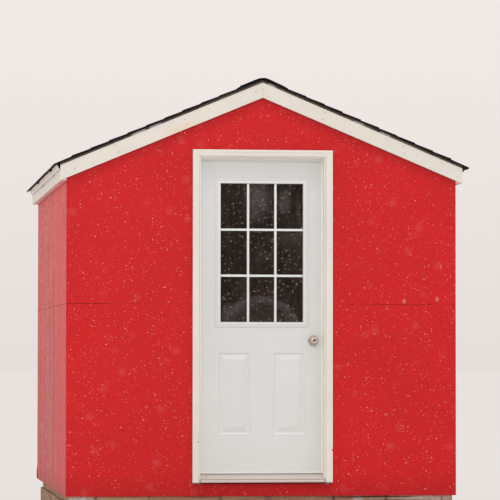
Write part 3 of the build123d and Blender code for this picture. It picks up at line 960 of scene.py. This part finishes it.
def sill_screw(material):
    """A screw through the sloping face of the sill, near its left end."""
    centre = (sill_low.x + 60 * MM, slab_low.y - 23.5 * MM, sill_high.z - 13.2 * MM)
    bm = bmesh.new()
    add_disc(bm, centre, (0, -0.257, 0.966), 5 * MM, 2 * MM, 12)
    piece("sill_screw", bm, "hut", material, smooth=50)


# Lines along the sill's nose: heights of their lower and upper edges above the trim's foot, in mm.
NOSE_LINES = ((21.5, 22.5), (16.7, 18.4), (5.5, 6.6), (0.3, 1.4))


def sill_lines(material, under_sill_shadow, step):
    """The lines along the sill's nose, a plate of painted shade on its upright step, and a dark strip under
    it that stands for the sill's shadow.
    """
    foot = trim_low.z
    front, back = sill_low.y - 0.25 * MM, sill_low.y + 1 * MM
    bm = bmesh.new()
    for low, high in NOSE_LINES:
        add_box(bm, (sill_low.x + 16 * MM, front, foot + low * MM),
                (sill_high.x - 16 * MM, back, foot + high * MM))
    for x in (sill_low.x + 12 * MM, sill_high.x - 14 * MM):
        add_box(bm, (x, front, foot), (x + 2 * MM, back, foot + 22 * MM))
    piece("sill_lines", bm, "hut", material)
    # A dark strip that stands for the shadow under the sill.
    bm = bmesh.new()
    add_box(bm, (trim_low.x + 2 * MM, trim_high.y - 5 * MM, foot - 6 * MM),
            (-trim_low.x - 2 * MM, trim_high.y, foot - 0.2 * MM))
    piece("sill_flashing", bm, "hut", under_sill_shadow)
    # A plate of painted shade on the sill's upright step.
    bm = bmesh.new()
    riser = slab_low.y - 11 * MM
    add_box(bm, (sill_low.x + 12 * MM, riser - 0.6 * MM, sill_high.z - 9 * MM),
            (sill_high.x - 12 * MM, riser + 4 * MM, sill_high.z - 1 * MM))
    piece("sill_step", bm, "hut", step)


# ---- walls and soffits ---------------------------------------------------
SHEET = 1219 * MM
JOINT = 3 * MM
SEAM_LOW = side_low.z + SHEET - JOINT / 2
SEAM_HIGH = SEAM_LOW + JOINT
SEAM_RUN = 0.02
# Ranges of how deep the filler lies in the joint, and the stretches of the front joint where
# it has fallen out.
SHALLOW = (0.15 * MM, 0.7 * MM)
SUNKEN = (0.6 * MM, 1.4 * MM)
DEEP = (3.2 * MM, 6.5 * MM)
OPEN_JOINTS = ((-1.25, -0.97), (0.562, 0.585), (0.72, 1.105))


def jog(reach):
    """A random step of up to so many mm either way."""
    return chance.uniform(-reach, reach) * MM


def front_depth(spot):
    open_here = any(low <= spot.x <= high for low, high in OPEN_JOINTS)
    return DEEP if open_here else SHALLOW


def side_depth(spot):
    wave = math.sin(spot.y * 4.1) + math.sin(spot.y * 9.7 + 1) + math.sin(spot.x * 5.3)
    return DEEP if wave > -0.2 else SUNKEN


def add_filler(bm, start, end, inward, depths):
    """Adds the paint and dust that bridge the joint between two sheets, at an uneven depth.

    start and end are the ends of the joint along the wall's face, inward is the unit vector
    into the wall, and depths gives a range of depths for a place on the joint."""
    start, end, inward = Vector(start), Vector(end), Vector(inward)
    count = max(2, int((end - start).length / SEAM_RUN))
    rows = []
    for k in range(count + 1):
        spot = start.lerp(end, k / count)
        front = spot + inward * chance.uniform(*depths(spot))
        back = spot + inward * 9 * MM
        corners = ((front, SEAM_LOW), (front, SEAM_HIGH), (back, SEAM_HIGH), (back, SEAM_LOW))
        rows.append([(v.x, v.y, z) for v, z in corners])
    add_run(bm, rows)


def seam_filler(material):
    """The filler in the joints of every wall, broken by the doorway at the front."""
    front, back = body_low.y, -body_low.y
    left = side_low.x
    door_edge = body_high.x
    inset = 1 * MM
    bm = bmesh.new()
    add_filler(bm, (left + inset, front, 0), (door_edge - inset, front, 0), (0, 1, 0), front_depth)
    add_filler(bm, (-door_edge + inset, front, 0), (-left - inset, front, 0), (0, 1, 0), front_depth)
    add_filler(bm, (left + inset, back, 0), (-left - inset, back, 0), (0, -1, 0), side_depth)
    for side in (-1, 1):
        x = side * abs(left)
        add_filler(bm, (x, side_low.y + inset, 0), (x, side_high.y - inset, 0), (-side, 0, 0), side_depth)
    piece("cladding_joint_filler", bm, "hut", material)


def cladding_scars(material):
    """Short dark splits in the front sheets: place and length along X, and height above the joint."""
    bm = bmesh.new()
    for x, length, rise in ((-1.18, 34, 38), (-1.19, 16, -40), (0.707, 14, -76), (0.919, 12, -235)):
        z = SEAM_HIGH + rise * MM
        half = length / 2 * MM
        add_box(bm, (x - half, body_low.y - 0.3 * MM, z), (x + half, body_low.y + 1 * MM, z + 3 * MM))
    soften(bm, 1 * MM, 1)
    piece("cladding_scars", bm, "hut", material)


# Nails in the cladding: places along X, spacing along the sides, and heights above the lowest
# row and above the joint.
STUDS = (-1.215, -0.85, -0.49, 0.49, 0.85, 1.215)
SIDE_SPACING = 0.4311
LOWER_NAILS = (0, 0.29, 0.59, 0.89)
UPPER_NAILS = (0.016, 0.27, 0.53, 0.77)
GABLE_NAIL = 2.19


def cladding_nails(material):
    """Painted nail heads along the studs and sheet edges of every wall."""
    bm = bmesh.new()
    foot = body_low.z + 30 * MM
    rows = [foot + rise for rise in LOWER_NAILS] + [SEAM_LOW - 16 * MM]
    rows += [SEAM_HIGH + rise for rise in UPPER_NAILS]
    for x in STUDS:
        for z in rows + [GABLE_NAIL]:
            if z < plumb_top(x) - 0.15:
                for y, out in ((body_low.y, -1), (-body_low.y, 1)):
                    add_disc(bm, (x + jog(4), y, z + jog(9)), (0, out, 0), 2.8 * MM, 0.5 * MM, 8)
    for y in [side_low.y + 0.03 + k * SIDE_SPACING for k in range(8)]:
        for z in rows[:-1] + [side_high.z - 0.04]:
            for side in (-1, 1):
                spot = (side * abs(side_low.x), y + jog(4), z + jog(9))
                add_disc(bm, spot, (side, 0, 0), 2.8 * MM, 0.5 * MM, 8)
    piece("cladding_nails", bm, "hut", material, smooth=50)


def back_corner_chip(material):
    """A lifted edge of the side sheet at the foot of the back left corner."""
    shape = [(0, 2), (-5, 4), (-6, 60), (-2, 92), (0, 94)]
    bm = bmesh.new()
    add_run(bm, [[(side_low.x + a * MM, y, side_low.z + b * MM) for a, b in shape]
                 for y in (side_high.y - 12 * MM, side_high.y)])
    piece("back_corner_chip", bm, "hut", material)


def soffits(material):
    """Painted boards under the roof frame, between each side wall and its fascia."""
    bm = bmesh.new()
    y = -body_low.y
    wall, outer = -side_low.x, -fascia_high.x
    top, board = side_high.z, 3 * MM
    for side in (-1, 1):
        add_box(bm, (side * wall, -y, top - board), (side * outer, y, top))
        add_box(bm, (side * outer, 1 * MM - y, fascia_low.z - 1 * MM),
                (side * (outer + 7 * MM), y - 1 * MM, fascia_low.z + 1 * MM))
        for end in (-1, 1):
            add_box(bm, (side * wall, end * (y + 1.5 * MM), top - board),
                    (side * outer, end * (y - 1 * MM), top + 25 * MM))
    piece("soffits", bm, "hut", material)


def soffit_joints(material):
    """A dark red strip along the top of each side wall, just under its soffit, that stands for the shadow
    there.
    """
    bm = bmesh.new()
    wall = -side_low.x
    for side in (-1, 1):
        y = side_low.y + 4 * MM
        while y < side_high.y - 0.05:
            end = min(y + chance.uniform(0.2, 0.5), side_high.y - 4 * MM)
            foot = side_high.z - chance.uniform(5, 8) * MM
            add_box(bm, (side * wall, y, foot),
                    (side * (wall + 0.8 * MM), end, side_high.z - 2.5 * MM))
            y = end
    piece("soffit_joints", bm, "hut", material)


# ---- finishes ------------------------------------------------------------
SMUDGES = [((x, body_low.y, z), (0.016, 0.1, 0.022)) for x, z in ((0.915, 1.394), (1.129, 1.408))]
# Front paint, with painted shadow under the rake boards.
red_front = red_paint("red paint on the front", smudges=SMUDGES, rake_shadowed=True)
# Darker tone, and darker still up towards the sill: painted shadow under the sill's nose.
red_under = red_paint("red paint under the sill", (188, 22, 25), shade=(0.196, 0.241, 0.5))
DEEP_RED, GREYED, LESS_FROST_AND_SHEEN, DARKER_LOW = (180, 26, 38), (196, 132, 118), (228, 58, 50), (150, 56, 54)
# Marks on the left wall: place front to back, height, half lengths of both, colour and strength. The first
# keeps the front end a deeper, less pink red, where frost and painted sheen thin out; the second makes the
# wall darker towards the bottom.
MARKS = ((-1.56, 1.20, 1.80, 2.60, LESS_FROST_AND_SHEEN, 0.9), (0.00, 0.05, 4.00, 1.60, DARKER_LOW, 0.25),
         (0.10, 0.80, 0.45, 0.70, GREYED, 0.3), (1.50, 0.80, 0.12, 0.80, DEEP_RED, 0.5),
         (-0.28, 0.90, 0.10, 1.10, DEEP_RED, 0.9), (0.06, 1.05, 0.07, 0.50, DEEP_RED, 0.8),
         (-1.30, 1.93, 0.08, 0.12, DEEP_RED, 0.8))
STAINS = [((side_low.x, y, z), (0.2, half, tall), tint, share) for y, z, half, tall, tint, share in MARKS]
red_side = red_paint("red paint on the right side and back", streaks=0.15, bands=0.16, gloss=0.2)
# Left wall paint: strong pale bands, partly frost and partly painted sheen.
red_left_with_sheen = red_paint("red paint on the left side", streaks=0.15, bands=0.5, gloss=0.3, stains=STAINS)
red_joint = red_paint("dusty red joint", (188, 40, 40), streaks=0.2)
# Soffit paint far paler than the wall red: frost, and painted sheen on boards that face down.
soffit_red_with_sheen = red_paint("frosted red soffit with painted sheen", (250, 214, 206), gloss=0.3)
dark_split = red_paint("dark red split", (96, 14, 18))
# Paint for the strip of painted shadow under each soffit.
soffit_shadow_red = red_paint("dark red shadow under the soffit", (170, 34, 34))
shadowed = red_paint("dark red under the sill", (66, 4, 6))
white_fascia = white_paint("white board front to back", "Y")
white_upright = white_paint("white board upright", "Z")
white_across = white_paint("white board across", "X")
# Jamb paints made lighter than the other white boards, the hinge side most: painted light against the shade
# of the door's recess.
jamb_paint_brightened = {"left": white_paint("white hinge jamb", "Z", tone=(250, 246, 238)),
              "right": white_paint("white latch jamb", "Z", tone=(238, 232, 223))}
head_shade = white_paint("white door head", "X", tone=(230, 229, 223))
RAKE_STAIN = ((-0.44, -1.57, 2.47), (0.24, 0.1, 0.08))
rake_paint = white_paint("white rake board", "X", RAKE_STAIN, (230, 223, 212))
# Drip edge paint made lighter: painted light against the shadow of the shingles above it.
drip_paint_brightened = white_paint("white drip edge", "Y", tone=(243, 233, 226))
sill_paint = white_paint("off-white sill", "X", tone=(223, 211, 200))
door_white = door_paint("white steel door")
plastic = moulding_plastic("white moulding", (214, 214, 211))
# A lighter copy of the white moulding plastic: a painted highlight on the glazing's lip, the bars and the
# door's foot.
bright = moulding_plastic("bright white lip", (230, 230, 227))
# Weatherstrip paints: a lighter copy as painted light against the shade in the door's side corners, and a
# shaded copy for the head.
strip_brightened = moulding_plastic("pale weatherstrip", (250, 249, 245))
strip_shaded = moulding_plastic("shaded weatherstrip", (232, 231, 226))
strip_grey = moulding_plastic("grey sill seal", (50, 46, 42))
step_grey = moulding_plastic("shaded sill step", (204, 192, 182))
# Hazy marks on the glass: place across and height, half sizes of both, width of the rim and strength.
HAZES = [((x, glass_low.y, z), (wide, 0.1, tall), rim, share) for x, z, wide, tall, rim, share in (
    (0.00, 1.16, 0.28, 0.28, 0.07, 0.09), (-0.02, 2.04, 0.11, 0.17, 0.6, 0.09),
    (0.15, 2.03, 0.05, 0.10, 0.5, 0.08), (-0.21, 1.30, 0.06, 0.10, 0.5, 0.06),
    (0.20, 1.80, 0.11, 0.06, 0.6, 0.05), (0.02, 1.68, 0.12, 0.07, 0.6, 0.02))]
glass = dark_glass("window glass", HAZES)
beam_y = weathered_wood("weathered skid", "Y", (190, 154, 124), (136, 104, 82))
ICY, DARK_RED, WET = (206, 198, 192), (132, 72, 56), (66, 44, 38)
# Patches along the front joist: place across, half width, colour and strength.
JOIST_MARKS = ((-1.20, 0.16, ICY, 0.7), (1.04, 0.26, ICY, 0.55), (0.62, 0.05, ICY, 0.5),
               (-0.55, 0.30, DARK_RED, 0.4), (0.25, 0.45, DARK_RED, 0.5), (-1.06, 0.015, WET, 0.8),
               (-0.72, 0.012, WET, 0.6), (-0.27, 0.02, WET, 0.6), (0.04, 0.03, WET, 0.5),
               (0.46, 0.012, WET, 0.8), (0.80, 0.015, WET, 0.8), (1.16, 0.012, WET, 0.6))
PATCHES = [((x, joist_low.y, joist_high.z), (half, 0.2, 0.2), tint, share)
           for x, half, tint, share in JOIST_MARKS]
beam_x = weathered_wood("weathered joist", "X", (182, 148, 116), (128, 96, 74), PATCHES)
floor_ply = plywood("floor plywood", "Y", (172, 142, 104), (134, 104, 72))
lining = plywood("lining plywood", "Z")
# Frost on the front edge of the roof deck: place across and half width.
FROST = [((x, rake_low.y, plumb_top(x) + deck_drop), (half, 0.2, 0.05))
         for x, half in ((-0.80, 0.06), (-0.69, 0.05), (0.06, 0.03), (0.62, 0.04), (0.79, 0.04))]
deck_brown = deck_edge("roof deck edge", FROST)
black = asphalt("asphalt shingle")
nickel = metal("satin nickel", (200, 188, 176), 0.36)
dark_metal = metal("dark brass", (92, 76, 66), 0.45)
keyway = metal("dark keyway", (84, 66, 63), 0.6)
zinc = metal("zinc plate", (180, 178, 172), 0.36)
nail = metal("dull nail", (150, 140, 132), 0.5)
rust = rubber("rusty nail head", (174, 124, 88))
vinyl = rubber("grey vinyl", (112, 106, 100))


# ---- dressing ------------------------------------------------------------
def paint(material, *nodes):
    """Gives CAD nodes a finished material."""
    for node in nodes:
        for slot in frame["nodes"][node].material_slots:
            slot.material = material


for side in ("left", "right"):
    dressed("skid_" + side, beam_y, 5 * MM, 3)
    dressed("rim_joist_" + side, beam_y, 2 * MM)
    dressed("fascia_" + side, white_fascia)
    dressed("front_rake_" + side, rake_paint, 1.2 * MM)
    dressed("back_rake_" + side, rake_paint, 1.2 * MM)
    dressed("door_jamb_" + side, jamb_paint_brightened[side], 1 * MM)
    paint(red_left_with_sheen if side == "left" else red_side, side + "_cladding")
    paint(red_front, "front_cladding_" + side)
    paint(drip_paint_brightened, "drip_edge_" + side)
    paint(deck_brown, "roof_deck_" + side)
    paint(lining, "roof_frame_" + side, side + "_wall", "front_wall_" + side)
dressed("floor_joists", beam_x, 2 * MM)
dressed("door_jamb_head", head_shade, 1 * MM)
dressed("door_sill", sill_paint, 1 * MM)
dressed("door_slab", door_white, 0.8 * MM, 2, 10)
paint(red_side, "back_cladding")
paint(red_front, "front_cladding_over_door")
paint(red_under, "front_cladding_below_door")
paint(lining, "front_wall_over_door", "back_wall")
paint(floor_ply, "floor")
paint(glass, "door_glass")
paint(vinyl, "door_sweep")
paint(nickel, "knob_roses", "door_knobs")
paint(zinc, "hinge_leaves_jamb", "hinge_leaves_door", "latch_plate", "strike_plate")

shingle_slope(-1, "shingles_left", black)
shingle_slope(1, "shingles_right", black)
ridge_shingles(black)
eave_felt(black)
eave_droops(black)
eave_waves(black)
lite_frame(plastic, bright)
window_bars(bright)
panel_beads(door_white)
door_foot(bright)
weatherstrips(strip_brightened, strip_shaded)
sill_seal(strip_grey)
drip_gaps(dark_metal)
knob_details(nickel, keyway)
hinge_screws(zinc)
brickmould(white_upright, white_across)
trim_marks(rust, red_front)
sill_screw(keyway)
seam_filler(red_joint)
soffits(soffit_red_with_sheen)
soffit_joints(soffit_shadow_red)
back_corner_chip(red_joint)
sill_lines(dark_metal, shadowed, step_grey)
rake_nails(nail)
rake_mitre(nail)
cladding_scars(dark_split)
cladding_nails(red_side)


# ---- stage, light and camera ---------------------------------------------
SKY = 0.79


def stage():
    """A pale floor that glows a little for the camera."""
    bm = bmesh.new()
    bmesh.ops.create_grid(bm, x_segments=1, y_segments=1, size=300)
    mesh = bpy.data.meshes.new("floor_plane")
    bm.to_mesh(mesh)
    bm.free()
    made = placed("floor_plane", mesh)
    s = Shader("pale floor")
    s.ground(s.noise(0.6, detail=3), 0.3, 0.7, (236, 230, 226), (240, 234, 231))
    s.finish(0.9, Specular_IOR_Level=0.1)
    glow = s.node("ShaderNodeEmission")
    s.fill(glow.inputs["Color"], colour(236, 230, 226))
    share = s.times(s.node("ShaderNodeLightPath").outputs["Is Camera Ray"], 0.8)
    s.blend(share, s.surface, glow, s.tree.nodes["Material Output"])
    mesh.materials.append(s.material)


def world():
    """A bright overcast sky for light, and a pale backdrop for the camera and reflections."""
    made = bpy.data.worlds.new("overcast")
    bpy.context.scene.world = made
    made.use_nodes = True
    made.node_tree.nodes.clear()
    sky = Nodes(made.node_tree)
    ray = sky.node("ShaderNodeLightPath").outputs
    seen_ray = sky.maths("MAXIMUM", ray["Is Camera Ray"], ray["Is Glossy Ray"])
    seen_ray = sky.maths("MAXIMUM", seen_ray, ray["Is Transmission Ray"])
    rise = sky.ramp(sky.along(sky.coordinates("Generated"), "Z"), 0.0, 0.11)
    seen = sky.node("ShaderNodeBackground")
    sky.fill(seen.inputs["Color"], sky.mix(rise, colour(229, 223, 219), colour(241, 233, 230)))
    light = sky.node("ShaderNodeBackground")
    light.inputs["Color"].default_value = (0.97, 0.985, 1.0, 1)
    light.inputs["Strength"].default_value = SKY
    sky.blend(seen_ray, light, seen, sky.node("ShaderNodeOutputWorld"))


def lamp(name, place, aim, size, power):
    """A round area light at one place, turned towards another."""
    data = bpy.data.lights.new(name, "AREA")
    data.shape = "DISK"
    data.size = size
    data.energy = power
    made = placed(name, data)
    made.location = place
    made.rotation_mode = "QUATERNION"
    made.rotation_quaternion = (Vector(aim) - Vector(place)).to_track_quat("-Z", "Y")


def camera():
    """The camera at the photo's view."""
    data = bpy.data.cameras.new("camera")
    data.sensor_width = 36
    data.lens = 226.4
    data.clip_end = 500
    made = placed("camera", data)
    made.location = (-2.571, -21.404, 1.008)
    made.rotation_euler = (math.radians(90 + 2.032), math.radians(-0.055), math.radians(-7.154))
    bpy.context.scene.camera = made


stage()
world()
lamp("key", (-2, -22, 9), (0, -1.5, 1.3), 9, 1110)
lamp("left", (-20, 3, 4.5), (-1.3, 0, 1.3), 16, 440)
camera()
bpy.context.scene.view_settings.view_transform = "Standard"
